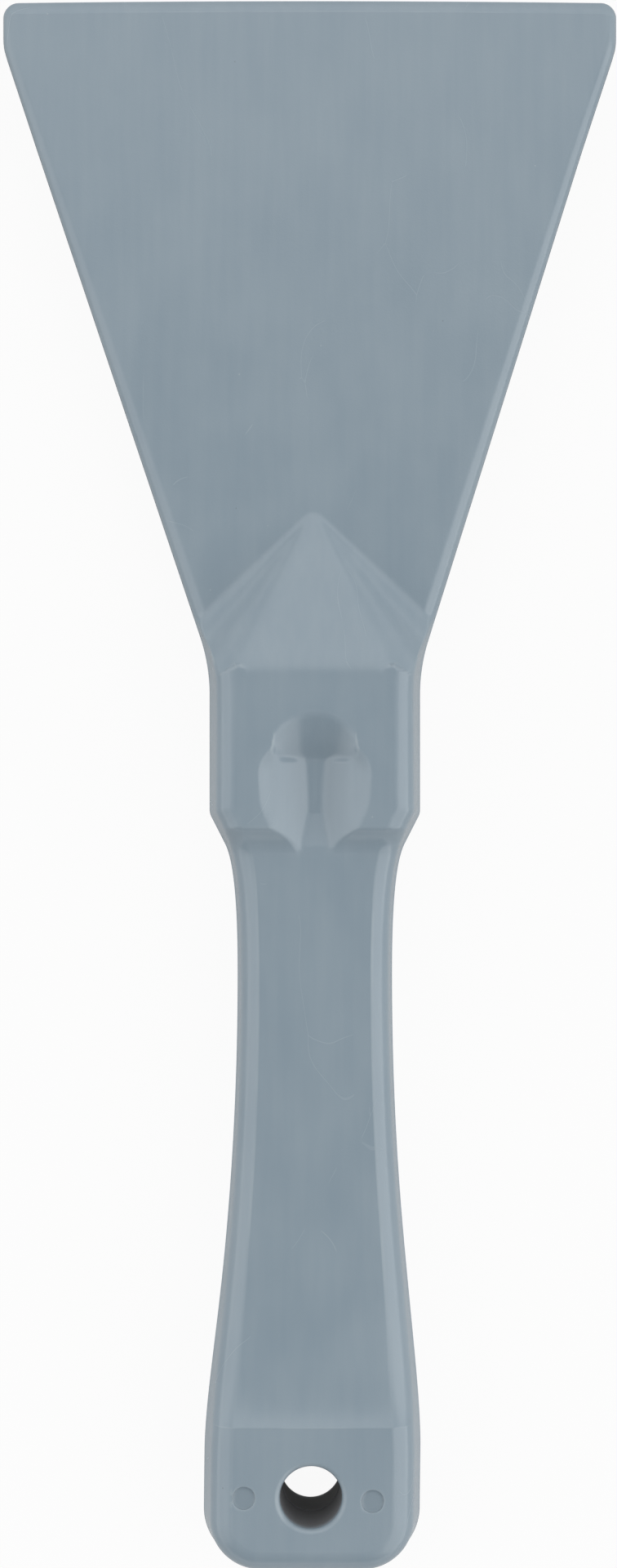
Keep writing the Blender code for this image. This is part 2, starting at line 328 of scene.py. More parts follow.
def crownHeight(x, station):
    # the grip's face is slightly round across the tool, level with its edges
    half = along(distanceAt(station))[1] - handleSizes["crownInset"]
    share = smoothStep(station, blockEnd, waistStation) * (1 - smoothStep(station, gripEnd, padStart))
    return share * max(half ** 2 - x ** 2, 0.0) / (2 * handleSizes["crownRadius"])


def shoulderHeight(x, station):
    # flat ramp between two flanks, round at the top and hollow at the foot
    sizes = shoulderSizes
    level = bladeHeight(station)
    run = station - shoulderStart
    if run <= 0:
        return level
    foot = sizes["footSpread"] * (run + sizes["footLead"])
    ridge = sizes["ridgeSpread"] * run
    share = min(max((foot - abs(x)) / (foot - ridge), 0.0), 1.0)
    share = 2 * share ** 2 if share < 0.5 else 1 - 2 * (1 - share) ** 2
    climb = (halfThick - bladeSizes["root"] / 2) / lengths["shoulder"] * run
    start = sizes["cutStart"]
    cut = blockStart + sizes["cutSlant"] * max(abs(x) - start, 0.0)
    rise = sizes["cutRise"] * smoothStep(station, cut, cut + sizes["cutLength"])
    rise *= smoothStep(abs(x), start - sizes["cutFade"][0], start + sizes["cutFade"][1])
    return level + climb * share + rise


# thumb groove in the front of the block

thumbSizes = {
    "middle": 15.3,           # from the block's front to where the tip of the thumb rests
    "radius": 7.3,            # of the round nose before it
    "depth": 3.9,
    "floorHalf": 1.9,         # half-width of the flat floor there
    "panelSlope": 0.64,       # of the two flat sides
    "bowlPower": 2.6,         # how late its bottom rises at the sides
    "shortestRun": 0.2,       # of its ramp, at the sides
    "highestRun": 3.0,        # its ramp isn't followed further up than this many times its height
    "noseBlend": (0.6, 0.9),  # ahead of and behind the middle, where the nose turns into the floor
    "above": 1.5,             # its walls end this far above the block's face
    "runOut": 2.0,            # it ends this far ahead of the waist
    "dip": 0.3,               # the floor goes this much deeper behind it
    "dipLength": 9.0,
    "climb": 0.12,            # and then gains this height per length towards the grip
    "creaseRound": 0.9,       # between the nose and the floor
    "innerRound": 0.5,        # between the floor and its sides
    "dish": (18.2, 21.8),     # the shallow hollow that flares the sides runs between these
    "dishNose": 1.35,         # how much blunter its front end is than its back end
    "dishHalf": 9.0,
    "dishDepth": 1.6,
    "dishPower": 5,
    "dishReach": 1.5,         # its formula isn't followed further out than this many half-widths
    "dishRound": 0.5,
    "rimRound": 0.5,          # between the hollow and the block's face
}


thumbTip = halfThick - thumbSizes["depth"]


def thumbNose(x, back):
    # a straight ramp from the round rim down to a flatter bottom
    sizes = thumbSizes
    bowl = thumbTip + sizes["depth"] * min(abs(x) / sizes["radius"], 1.0) ** sizes["bowlPower"]
    run = math.sqrt(max(sizes["radius"] ** 2 - x ** 2, sizes["shortestRun"] ** 2))
    ahead = smoothMax(sizes["middle"] - back, 0.0, sizes["creaseRound"])
    return bowl + min(ahead / run, sizes["highestRun"]) * max(halfThick - bowl, 1.0)


def thumbGroove(x, back):
    # flat floor between two flat sides
    sizes = thumbSizes
    past = max(back - sizes["middle"], 0.0)
    share = min(past / sizes["dipLength"], 1.0)
    climb = sizes["climb"] * max(past - sizes["dipLength"], 0.0)
    floor = thumbTip - sizes["dip"] * (1 - (1 - share) ** 2) + climb
    panel = thumbTip + sizes["panelSlope"] * (abs(x) - sizes["floorHalf"])
    return smoothMax(floor, panel, sizes["innerRound"])


def thumbDish(x, back):
    # shallow hollow round the groove, blunter in front
    sizes = thumbSizes
    middle = min(max(back, sizes["dish"][0]), sizes["dish"][1])
    onward = (back - middle) * (sizes["dishNose"] if back < middle else 1.0)
    off = min(math.hypot(x, onward) / sizes["dishHalf"], sizes["dishReach"])
    return halfThick - sizes["dishDepth"] * (1 - off ** sizes["dishPower"])


def thumbFloor(x, station):
    sizes = thumbSizes
    back = station - blockStart
    ahead, behind = sizes["noseBlend"]
    grooved = smoothStep(back, sizes["middle"] - ahead, sizes["middle"] + behind)
    groove = mix(thumbNose(x, back), thumbGroove(x, back), grooved)
    groove = min(groove, halfThick + sizes["above"])
    return smoothMin(groove, thumbDish(x, back), sizes["dishRound"])


def faceHeight(x, station, side):
    # side is 1 on the front and -1 on the back
    height = handleHeight(station) + crownHeight(x, station)
    if station < blockEnd:
        height = smoothMin(shoulderHeight(x, station), height, shoulderSizes["topRound"])
    if side > 0 and blockStart < station < waistStation - thumbSizes["runOut"]:
        height = smoothMin(height, thumbFloor(x, station), thumbSizes["rimRound"])
    return height


# cross-section of the edges, from the outline (0) to the inner end (1)

bandCount = 15
seamBands = 2
firstShare = 0.02             # where the first loop beside the seam lies
leastRound = 0.01             # a round smaller than this is left sharp


def edgeShare(band):
    return (band - seamBands) / (bandCount - seamBands)


def handleEdge(t, full, station):
    # drafted wall, then a round that meets the face at a slight crease: (distance in, height)
    radius, crease = edgeRoundAt(station)
    draft = math.radians(handleSizes["draft"])
    steepest = math.pi / 2 - draft
    wallTop = full - radius * (math.cos(crease) - math.cos(steepest))
    wallShare = 0.3
    if t < wallShare:
        height = wallTop * t / wallShare
        return height * math.tan(draft), height
    tilt = mix(steepest, crease, (t - wallShare) / (1 - wallShare))
    inward = wallTop * math.tan(draft) + radius * (math.sin(steepest) - math.sin(tilt))
    return inward, wallTop + radius * (math.cos(tilt) - math.cos(steepest))


def bladeEdge(t, full):
    width = bladeSizes["sideInset"] + bladeSizes["sideRound"] * full
    angle = math.pi / 2 * t
    return width * (1 - math.cos(angle)), full * math.sin(angle)


def frontEdge(t, full):
    # round nose of the scraping edge, then the bevel
    noseShare = 0.3
    nose = bladeSizes["noseLength"]
    edge = bladeSizes["edge"] / 2
    noseTop = edge * bladeSizes["noseHeight"]
    if t < noseShare:
        angle = math.pi / 2 * t / noseShare
        return nose * (1 - math.cos(angle)), math.sin(angle) * noseTop
    share = (t - noseShare) / (1 - noseShare)
    rise = share * (1 + bladeSizes["bevelBulge"] * (1 - share))
    return mix(nose, bladeSizes["bevel"], share), mix(noseTop, full, rise)


def edgePoint(band, point, frontShare):
    # (station, x, height) of one vertex of the edge bands
    station, x, inStation, inX = point
    if band < seamBands:
        return station, x, handleSizes["seamHalf"] * band
    t = max(edgeShare(band), firstShare)
    seam = handleSizes["seamOut"] * (1 - t)
    handle = smoothStep(station, blockStart - handleSizes["sideChange"], blockStart)

    def profile(atStation):
        blade = bladeHeight(atStation)
        full = handleHeight(atStation)
        d, z = bladeEdge(t, blade)
        if handle > 0:
            dh, zh = handleEdge(t, full, atStation)
            d, z = mix(d, dh, handle), mix(z, zh, handle)
        if frontShare > 0:
            df, zf = frontEdge(t, blade)
            d, z = mix(d, df, frontShare), mix(z, zf, frontShare)
        return d + seam * (1 - frontShare), z

    d, z = profile(station)
    s1, x1 = station + inStation * d, x + inX * d
    z = profile(s1)[1] if handle > 0 else z
    if s1 < blockEnd:
        ramp = shoulderHeight(x1, s1)
        width = shoulderSizes["cornerRound"] * smoothStep(handle, 0.0, shoulderSizes["cornerGrown"])
        z = min(z, ramp) if width < leastRound else smoothMin(z, ramp, width)
    return s1, x1, z


# grid that covers the inside of the edge bands

halfColumns = 60
rowSpacing = [     # (up to this station, spacing)
    (2.5, 0.3), (8.0, 0.7), (82.0, 1.7), (100.0, 0.5), (113.0, 0.27), (127.5, 0.2),
    (136.0, 0.3), (143.0, 0.17), (222.0, 1.0), (233.0, 0.5), (235.5, 0.12), (257.0, 0.34),
]
cornerTurn = math.radians(45)
gridSizes = {
    "frontSpread": 1.3,       # how much closer the front's columns lie to its corners
    "frontReach": 0.1,        # how far to both sides the inward directions are measured
    "reach": 0.2,
    "cornerReach": 3.5,       # and round the block's rear corner, so that they fan out slowly
    "cornerFrom": (12, 18),   # behind the block's front
    "cornerTo": (10, 20),     # behind the foot of the step
    "frontBend": 9.0,         # the rows bend over this length to meet the front
    "buttBend": 5.0,
    "crownLength": 30.0,      # the scraping edge's crown fades out over this length
}


def rowStations():
    tip = outlineSizes["tipCorner"]
    butt = outlineSizes["buttCorner"]
    first = tip * (1 - math.sin(cornerTurn))
    last = toolLength - butt * (1 - math.sin(cornerTurn))
    stations = [first]
    for end, spacing in rowSpacing:
        end = min(end, last)
        steps = max(round((end - stations[-1]) / spacing), 1)
        start = stations[-1]
        stations += [mix(start, end, step / steps) for step in range(1, steps + 1)]
    return stations


def crownAt(x):
    return outlineSizes["tipCrown"] * (x * 2 / outlineSizes["bladeWidth"]) ** 2


print("outline and rows")
sideStations = rowStations()
frontEnd = distanceAt(sideStations[0])
buttEnd = distanceAt(sideStations[-1])
columns = range(-halfColumns, halfColumns + 1)


def frontRim(column):
    u = abs(column) / halfColumns
    return rimPoint(frontEnd * (1 - (1 - u) ** gridSizes["frontSpread"]), gridSizes["frontReach"])


def buttRim(column):
    u = abs(column) / halfColumns
    return rimPoint(travelled[-1] - (travelled[-1] - buttEnd) * u)


def mirrored(point, column):
    station, x, inStation, inX = point
    return (station, -x, inStation, -inX) if column < 0 else point


def reachAt(station):
    rises, falls = gridSizes["cornerFrom"], gridSizes["cornerTo"]
    nearCorner = smoothStep(station, blockStart + rises[0], blockStart + rises[1])
    nearCorner *= 1 - smoothStep(station, gripStart + falls[0], gripStart + falls[1])
    return mix(gridSizes["reach"], gridSizes["cornerReach"], nearCorner)


def bandColumn(point):
    # all the vertices of the edge bands that start from one point of the outline
    frontShare = 1 - smoothStep(point[0], 0.0, outlineSizes["tipCorner"])
    places = []
    for band in range(bandCount + 1):
        s, x, z = edgePoint(band, point, frontShare)
        s += crownAt(x) * (1 - smoothStep(s, 0.0, gridSizes["crownLength"]))
        places.append((s, x, z))
    return places


frontBands = [bandColumn(mirrored(frontRim(c), c)) for c in columns]
buttBands = [bandColumn(mirrored(buttRim(c), c)) for c in columns]
rightBands = [bandColumn(rimPoint(distanceAt(s), reachAt(s))) for s in sideStations]
leftBands = [[(s, -x, z) for s, x, z in places] for places in rightBands]

lastRow = len(sideStations) - 1


def gridPlace(row, column):
    # (station, x) of the inner grid, bent at both ends to meet the front and the butt
    u = column / halfColumns
    s, half = rightBands[row][-1][:2]
    x = u * half
    fromFront = sideStations[row] - sideStations[0]
    toButt = sideStations[-1] - sideStations[row]
    for bands, endRow, share in ((frontBands, 0, 1 - smoothStep(fromFront, 0.0, gridSizes["frontBend"])),
                                 (buttBands, -1, 1 - smoothStep(toButt, 0.0, gridSizes["buttBend"]))):
        if share > 0:
            rimS, rimX = bands[column + halfColumns][-1][:2]
            endS, endX = rightBands[endRow][-1][:2]
            s += share * (rimS - endS)
            x += share * (rimX - u * endX)
    return s, x


# round places in the butt pad

holeSizes = {
    "diameter": 9.6,          # at the parting plane
    "draft": 0.25,            # radius gained from there to a face
    "rim": 0.9,
    "setback": 13.6,          # butt to the hole's centre
    "aside": -0.2,            # to the right of the middle
    "patch": 6.9,             # half-width of the square of grid around it
    "seam": 0.12,             # raised seam inside it
    "seamRings": ((0.3, 0.16), (1.0, 0.07), (1.0, 0.0)),   # (share of the seam, height)
    "wallEnd": 0.35,          # height at which the wall runs into the seam
    "ringsOutside": 5,        # from the square of grid to its rim
    "ringsRound": 8,          # of its rim
    "ringsDown": 10,
}
markSizes = {
    "diameter": 3.7,
    "depth": 0.3,
    "wall": ((0.02, 0.03), (0.0, 0.1), (-0.03, 0.26), (-0.1, 0.3)),   # (outwards, down) of its rings
    "floorShare": 0.6,        # of its radius, where its floor's last ring lies
    "patch": 2.5,
    "edge": 0.1,
    "ringsOutside": 3,
    "places": ((-11.1, 13.6), (9.8, 13.1)),   # (to the right, from the butt)
}


def offset(vert, centre):
    # (station, x) from a centre to a vertex
    station = toolLength / 2 - vert.co.y / mm
    return station - centre[0], vert.co.x / mm - bowAt(station) - centre[1]


class Surface:
    # vertices of one face of the tool: side is 1 on the front and -1 on the back
    def __init__(self, mesh, side):
        self.mesh = mesh
        self.side = side

    def add(self, station, x, height):
        place = (x + bowAt(station), toolLength / 2 - station, halfThick + self.side * height)
        return self.mesh.verts.new(Vector(place) * mm)

    def face(self, corners):
        corners = list(dict.fromkeys(corners))
        if len(corners) > 2:
            self.mesh.faces.new(corners if self.side > 0 else corners[::-1])


def squareLoop(grid, rows, cols):
    # boundary of a block of grid points, going round once
    loop = [grid[rows[0]][c] for c in range(cols[0], cols[1])]
    loop += [grid[r][cols[1]] for r in range(rows[0], rows[1])]
    loop += [grid[rows[1]][c] for c in range(cols[1], cols[0], -1)]
    loop += [grid[r][cols[0]] for r in range(rows[1], rows[0], -1)]
    return loop


def nearest(values, wanted):
    return min(range(len(values)), key=lambda index: abs(values[index] - wanted))


def patchRange(centre, half):
    # first and last row, first and last column of a square of grid
    stations = [gridPlace(r, 0)[0] for r in range(lastRow + 1)]
    rows = [nearest(stations, centre[0] + d) for d in (-half, half)]
    row = nearest(sideStations, centre[0])
    xs = [gridPlace(row, c)[1] for c in columns]
    cols = [nearest(xs, centre[1] + d) for d in (-half, half)]
    return rows, cols


def ring(surface, loop, centre, radius, height, share=1.0):
    # the loop's vertices pulled towards a circle, all the way where share is 1
    verts = []
    for vert in loop:
        ds, dx = offset(vert, centre)
        length = math.hypot(dx, ds)
        reach = mix(length, radius, share)
        place = centre[0] + ds / length * reach, centre[1] + dx / length * reach
        verts.append(surface.add(*place, height))
    return verts


def bridge(surface, outer, inner):
    for index in range(len(outer)):
        after = (index + 1) % len(outer)
        surface.face([outer[index], outer[after], inner[after], inner[index]])


def easeIn(surface, loop, centre, radius, steps):
    # rings that turn from the square of the grid to a circle in a flat face
    height = faceHeight(0, centre[0], surface.side)
    last = loop
    for step in range(1, steps + 1):
        inner = ring(surface, loop, centre, radius, height, step / steps)
        bridge(surface, last, inner)
        last = inner
    return last


def sink(surface, loop, centre, profile):
    # carries a round loop through rings of (radius, height)
    for radius, height in profile:
        inner = ring(surface, loop, centre, radius, height)
        bridge(surface, loop, inner)
        loop = inner
    return loop


holeCentre = (toolLength - holeSizes["setback"], holeSizes["aside"])
markCentres = [(toolLength - setback, x) for x, setback in markSizes["places"]]


def holeProfile():
    # (radius, height) from the face down to the parting plane
    sizes = holeSizes
    narrow = sizes["diameter"] / 2
    atFace = narrow + sizes["draft"]
    wallTop = halfThick - sizes["rim"]
    points = []
    for step in range(1, sizes["ringsRound"] + 1):
        turn = math.pi / 2 * (1 - step / sizes["ringsRound"])
        points.append((atFace + sizes["rim"] * (1 - math.cos(turn)),
                       halfThick - sizes["rim"] * (1 - math.sin(turn))))
    for step in range(1, sizes["ringsDown"] + 1):
        share = step / sizes["ringsDown"]
        points.append((mix(atFace, narrow, share), mix(wallTop, sizes["wallEnd"], share)))
    points += [(narrow - sizes["seam"] * share, height) for share, height in sizes["seamRings"]]
    return points


def punchHole(surface, loop, sharedRim):
    outer = holeSizes["diameter"] / 2 + holeSizes["draft"] + holeSizes["rim"]
    *wall, (narrowest, middle) = holeProfile()
    last = easeIn(surface, loop, holeCentre, outer, holeSizes["ringsOutside"])
    last = sink(surface, last, holeCentre, wall)
    if "bore" not in sharedRim:
        sharedRim["bore"] = ring(surface, last, holeCentre, narrowest, middle)
    bridge(surface, last, sharedRim["bore"])


def pressMark(surface, loop, centre):
    radius = markSizes["diameter"] / 2
    top = faceHeight(0, centre[0], surface.side)
    profile = [(radius + outwards, top - down) for outwards, down in markSizes["wall"]]
    profile.append((radius * markSizes["floorShare"], top - markSizes["depth"]))
    last = easeIn(surface, loop, centre, radius + markSizes["edge"], markSizes["ringsOutside"])
    surface.face(sink(surface, last, centre, profile))


def rimBands():
    # the columns of edge bands once round the tool, by place
    loop = [(("front", c), frontBands[c + halfColumns]) for c in columns]
    loop += [(("right", r), rightBands[r]) for r in range(1, lastRow)]
    loop += [(("butt", c), buttBands[c + halfColumns]) for c in reversed(columns)]
    loop += [(("left", r), leftBands[r]) for r in range(lastRow - 1, 0, -1)]
    return dict(loop)


def addBands(surface, sharedRim):
    # their first loop is shared by both faces
    bands = {}
    for key, places in rimBands().items():
        bands[key] = [sharedRim[key]] + [surface.add(*place) for place in places[1:]]
    loop = list(bands.values())
    for near, far in zip(loop, loop[1:] + loop[:1]):
        for band in range(bandCount):
            surface.face([near[band], near[band + 1], far[band + 1], far[band]])
    return bands


def bandEnd(bands, row, column):
    # the vertex of the edge bands that a point on the rim of the grid is
    if row == 0:
        return bands[("front", column)][-1]
    if row == lastRow:
        return bands[("butt", column)][-1]
    if abs(column) == halfColumns:
        return bands[("right" if column > 0 else "left", row)][-1]
    return None


def addGrid(surface, bands, blocks):
    # all of the face inside the edge bands, apart from the blocks that the round places take
    grid = []
    for row in range(lastRow + 1):
        line = []
        for column in columns:
            vert = bandEnd(bands, row, column)
            inside = any(rows[0] < row < rows[1] and cols[0] < column + halfColumns < cols[1]
                         for rows, cols in blocks)
            if vert is None and not inside:
                s, x = gridPlace(row, column)
                vert = surface.add(s, x, faceHeight(x, s, surface.side))
            line.append(vert)
        grid.append(line)
    for row in range(lastRow):
        for c in range(2 * halfColumns):
            if any(rows[0] <= row < rows[1] and cols[0] <= c < cols[1] for rows, cols in blocks):
                continue
            surface.face([grid[row][c], grid[row + 1][c], grid[row + 1][c + 1], grid[row][c + 1]])
    return grid


def fillFace(surface, sharedRim):
    # only the front has the ejector marks
    marks = markCentres if surface.side > 0 else []
    blocks = [patchRange(holeCentre, holeSizes["patch"])]
    blocks += [patchRange(centre, markSizes["patch"]) for centre in marks]
    grid = addGrid(surface, addBands(surface, sharedRim), blocks)
    punchHole(surface, squareLoop(grid, *blocks[0]), sharedRim)
    for block, centre in zip(blocks[1:], marks):
        pressMark(surface, squareLoop(grid, *block), centre)


def scraperMesh():
    mesh = bmesh.new()
    parting = Surface(mesh, 1)
    sharedRim = {key: parting.add(*places[0][:2], 0.0) for key, places in rimBands().items()}
    for side in (1, -1):
        fillFace(Surface(mesh, side), sharedRim)
    return mesh


def meshObject(name, mesh):
    shape = bpy.data.meshes.new(name)
    mesh.to_mesh(shape)
    mesh.free()
    item = bpy.data.objects.new(name, shape)
    bpy.context.collection.objects.link(item)
    return item


sharpFrom = 35                # degrees between two facets that look like an edge

print("moulding")
built = scraperMesh()
bmesh.ops.recalc_face_normals(built, faces=built.faces)
openEdges = sum(1 for edge in built.edges if not edge.is_manifold)
print("vertices", len(built.verts), "faces", len(built.faces), "open edges", openEdges)
moulding = meshObject("scraperMoulding", built)
moulding.data.shade_smooth()
moulding.data.set_sharp_from_angle(angle=math.radians(sharpFrom))
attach(moulding, "root")
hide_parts("scraper_moulding")


# attributes that the plastic reads: worn edges with a partly painted highlight, painted shade in the bore
# and on the ejector marks' floors

wearAndShadeSizes = {
    "softest": 0.30,          # a round of this curvature, per mm, shows no wear and no painted highlight
    "sharpest": 1.60,
    # painted shade in the bore starts and is full at these depths
    "borePaintedShadeStarts": 0.5,    # below the faces
    "borePaintedShadeFull": 2.4,
    "boreReach": 1.5,         # outside the bore's narrowest place
    "markInset": 0.02,        # a mark's floor has painted shade from this far inside its rim
}


# paler worn edges, partly a painted highlight on the convex rims
def edgeWearAndHighlight(data):
    # strongest convex curvature at each vertex, from 0 on the flats to 1 on sharp edges
    strongest = [0.0] * len(data.vertices)
    for edge in data.edges:
        first, second = edge.vertices
        a, b = data.vertices[first], data.vertices[second]
        step = a.co - b.co
        squared = max(step.length_squared, 1e-12)       # never 0, to divide by
        strongest[first] = max(strongest[first], 2 * a.normal.dot(step) / squared)
        strongest[second] = max(strongest[second], -2 * b.normal.dot(step) / squared)
    low, high = wearAndShadeSizes["softest"] / mm, wearAndShadeSizes["sharpest"] / mm
    return [smoothStep(value, low, high) for value in strongest]


# painted shade: 1 deep in the hang hole's bore, fading out towards the faces
def borePaintedShade(data):
    shares = []
    reach = holeSizes["diameter"] / 2 + wearAndShadeSizes["boreReach"]
    for vert in data.vertices:
        below = halfThick - abs(vert.co.z / mm - halfThick)
        down = smoothStep(below, wearAndShadeSizes["borePaintedShadeStarts"], wearAndShadeSizes["borePaintedShadeFull"])
        shares.append(down if math.hypot(*offset(vert, holeCentre)) < reach else 0.0)
    return shares


# the ejector marks' floors, where the plastic paints shade
def markFloors(data):
    shares = []
    reach = markSizes["diameter"] / 2 - wearAndShadeSizes["markInset"]
    for vert in data.vertices:
        off = min(math.hypot(*offset(vert, centre)) for centre in markCentres)
        shares.append(1.0 if off < reach and vert.co.z > halfThick * mm else 0.0)
    return shares


plasticShape = moulding.data
for name, shares in (("edgeWearAndHighlight", edgeWearAndHighlight(plasticShape)), ("borePaintedShade", borePaintedShade(plasticShape)),
                     ("markFloor", markFloors(plasticShape))):
    plasticShape.attributes.new(name, "FLOAT", "POINT").data.foreach_set("value", shares)


# small helpers for materials

def newMaterial(name):
    material = bpy.data.materials.new(name)
    material.use_nodes = True
    return material, material.node_tree


def addNode(tree, kind, **settings):
    node = tree.nodes.new("ShaderNode" + kind)
    for name, value in settings.items():
        setattr(node, name, value)
    return node


def join(tree, output, socket):
    # a socket takes either another node's output or a plain value
    if hasattr(output, "is_output"):
        tree.links.new(output, socket)
    else:
        socket.default_value = output


def feed(tree, node, *values, **named):
    # fills a node's inputs, the first ones in their order and the others by name
    for socket, value in zip(node.inputs, values):
        join(tree, value, socket)
    for name, value in named.items():
        join(tree, value, node.inputs[name])
    return node


def mathNode(tree, operation, first, second=0.0, third=0.0, clamp=False):
    node = addNode(tree, "Math", operation=operation, use_clamp=clamp)
    return feed(tree, node, first, second, third).outputs[0]


def vectorMath(tree, operation, first, second):
    return feed(tree, addNode(tree, "VectorMath", operation=operation), first, second).outputs[0]


def rangeNode(tree, value, low, high, toLow, toHigh):
    node = addNode(tree, "MapRange", interpolation_type="SMOOTHSTEP")
    return feed(tree, node, value, low, high, toLow, toHigh).outputs[0]


def mixColours(tree, share, first, second):
    node = feed(tree, addNode(tree, "Mix", data_type="RGBA"), share)
    join(tree, first, node.inputs[6])
    join(tree, second, node.inputs[7])
    return node.outputs[2]


def newGroup(name, inputs, outputs):
    tree = bpy.data.node_groups.new(name, "ShaderNodeTree")
    for label, value in inputs:
        socket = tree.interface.new_socket(label, in_out="INPUT", socket_type="NodeSocketFloat")
        socket.default_value = value
    for label in outputs:
        tree.interface.new_socket(label, in_out="OUTPUT", socket_type="NodeSocketFloat")
    return tree, tree.nodes.new("NodeGroupInput"), tree.nodes.new("NodeGroupOutput")


def useGroup(tree, group, **values):
    return feed(tree, addNode(tree, "Group", node_tree=group), **values).outputs[0]


def noiseNode(tree, place, scale, detail=2.0):
    return feed(tree, addNode(tree, "TexNoise"), Vector=place, Scale=scale, Detail=detail)


def cellDistance(tree, place, spacing, **settings):
    # in mm, in cells of one spacing
    scale = mathNode(tree, "DIVIDE", 1.0, spacing)
    cells = feed(tree, addNode(tree, "TexVoronoi", **settings), Vector=place, Scale=scale)
    return mathNode(tree, "MULTIPLY", cells.outputs["Distance"], spacing)


def stretchedPlace(tree, stretch):
    # the place on the object in mm, drawn out along the tool
    lengthwise = mathNode(tree, "DIVIDE", 1 / mm, stretch)
    squeeze = feed(tree, addNode(tree, "CombineXYZ"), 1 / mm, lengthwise, 1 / mm)
    place = addNode(tree, "TexCoord").outputs["Object"]
    return vectorMath(tree, "MULTIPLY", place, squeeze.outputs[0])


noiseRange = (0.25, 0.75)     # most of Blender's noise lies between these
scratchShape = {
    "bendScale": 0.04,        # of the noise that bends them, per mm
    "bend": 30.0,             # and how far it pushes them, in mm
    "patchScale": 0.09,
    "patchRange": (0.52, 0.62),   # they show where another noise is above these
}


def unevennessGroup():
    # soft noise from 0 to 1, of a size in mm and drawn out along the tool
    tree, given, made = newGroup("unevenness", (("Size", 10), ("Stretch", 1), ("Detail", 2)), ("Share",))
    place = stretchedPlace(tree, given.outputs["Stretch"])
    scale = mathNode(tree, "DIVIDE", 1.0, given.outputs["Size"])
    noise = noiseNode(tree, place, scale, given.outputs["Detail"])
    join(tree, rangeNode(tree, noise.outputs[0], *noiseRange, 0.0, 1.0), made.inputs["Share"])
    return tree


def specksGroup():
    # sparse round specks of one size in mm: 1 inside a speck
    tree, given, made = newGroup("specks", (("Spacing", 6), ("Size", 0.2), ("Shift", 0)), ("Mask",))
    place = vectorMath(tree, "ADD", stretchedPlace(tree, 1.0), given.outputs["Shift"])
    off = cellDistance(tree, place, given.outputs["Spacing"])
    half = mathNode(tree, "MULTIPLY", given.outputs["Size"], 0.5)
    join(tree, rangeNode(tree, off, half, given.outputs["Size"], 1.0, 0.0), made.inputs["Mask"])
    return tree


def scratchesGroup():
    # hair-thin curved scratches in a few places: 1 in a scratch
    tree, given, made = newGroup("scratches", (("Spacing", 20), ("Width", 0.05), ("Stretch", 3)), ("Mask",))
    shape = scratchShape
    place = stretchedPlace(tree, given.outputs["Stretch"])
    bend = noiseNode(tree, place, shape["bendScale"]).outputs["Color"]
    push = vectorMath(tree, "MULTIPLY", bend, [shape["bend"]] * 3)
    bent = vectorMath(tree, "ADD", place, push)
    off = cellDistance(tree, bent, given.outputs["Spacing"], feature="DISTANCE_TO_EDGE")
    line = rangeNode(tree, off, 0.0, given.outputs["Width"], 1.0, 0.0)
    patches = noiseNode(tree, place, shape["patchScale"]).outputs[0]
    some = rangeNode(tree, patches, *shape["patchRange"], 0.0, 1.0)
    join(tree, mathNode(tree, "MULTIPLY", line, some), made.inputs["Mask"])
    return tree


unevenness = unevennessGroup()
specks = specksGroup()
scratches = scratchesGroup()


# moulded plastic

plasticLook = {
    "deepColour": (0.207, 0.264, 0.309, 1),   # the two ends of the faintly cloudy colour
    "lightColour": (0.232, 0.288, 0.330, 1),
    "cloudSize": 11.0,
    "streakSize": 1.6,        # flow of the melt, along the tool
    "streakStretch": 14.0,
    "streakShare": 0.35,
    "speckColour": (0.12, 0.14, 0.16, 1),
    "speckShare": 0.5,
    "paleSpeckColour": (0.40, 0.44, 0.46, 1),
    "paleSpeckShare": 0.4,
    "paleSpeckShift": 40.0,   # lays them away from the dark ones
    "speckSpacing": 7.5,
    "speckSize": 0.16,
    # paler worn edges, partly a painted highlight; the scratches use the same colour
    "wornAndHighlightColour": (0.33, 0.38, 0.41, 1),
    "wornAndHighlightShare": 0.35,
    "wornLeast": 0.4,         # the wear and painted highlight are patchy: this share of them is everywhere
    "wornPatches": (0.2, 0.8),
    # painted shade deep in the hang hole's bore
    "boreShadeColour": (0.15, 0.148, 0.153, 1),
    "boreShadeLeast": 0.86,
    # painted shade on the ejector marks' floors
    "markFloorShadeColour": (0.175, 0.222, 0.258, 1),
    "markFloorShadeShare": 0.5,
    "roughness": (0.20, 0.26),
    "wornRoughness": -0.05,   # added where it is worn, scratched or in the bore's painted shade
    "scratchRoughness": 0.15,
    "boreShadeRoughness": 0.35,
    "grainSize": 0.30,
    "grainDepth": 0.0035,
    "rippleSize": 7.0,
    "rippleDepth": 0.030,
    "scratchSpacing": 26.0,
    "scratchWidth": 0.07,
    "scratchDepth": 0.003,
    "scratchShare": 0.08,
}


def attributeNode(tree, name):
    return addNode(tree, "Attribute", attribute_name=name).outputs["Fac"]


def bumpNode(tree, height, depth, normal=None, sunk=False):
    bump = feed(tree, addNode(tree, "Bump", invert=sunk), Distance=depth * mm, Height=height)
    if normal:
        join(tree, normal, bump.inputs["Normal"])
    return bump.outputs["Normal"]


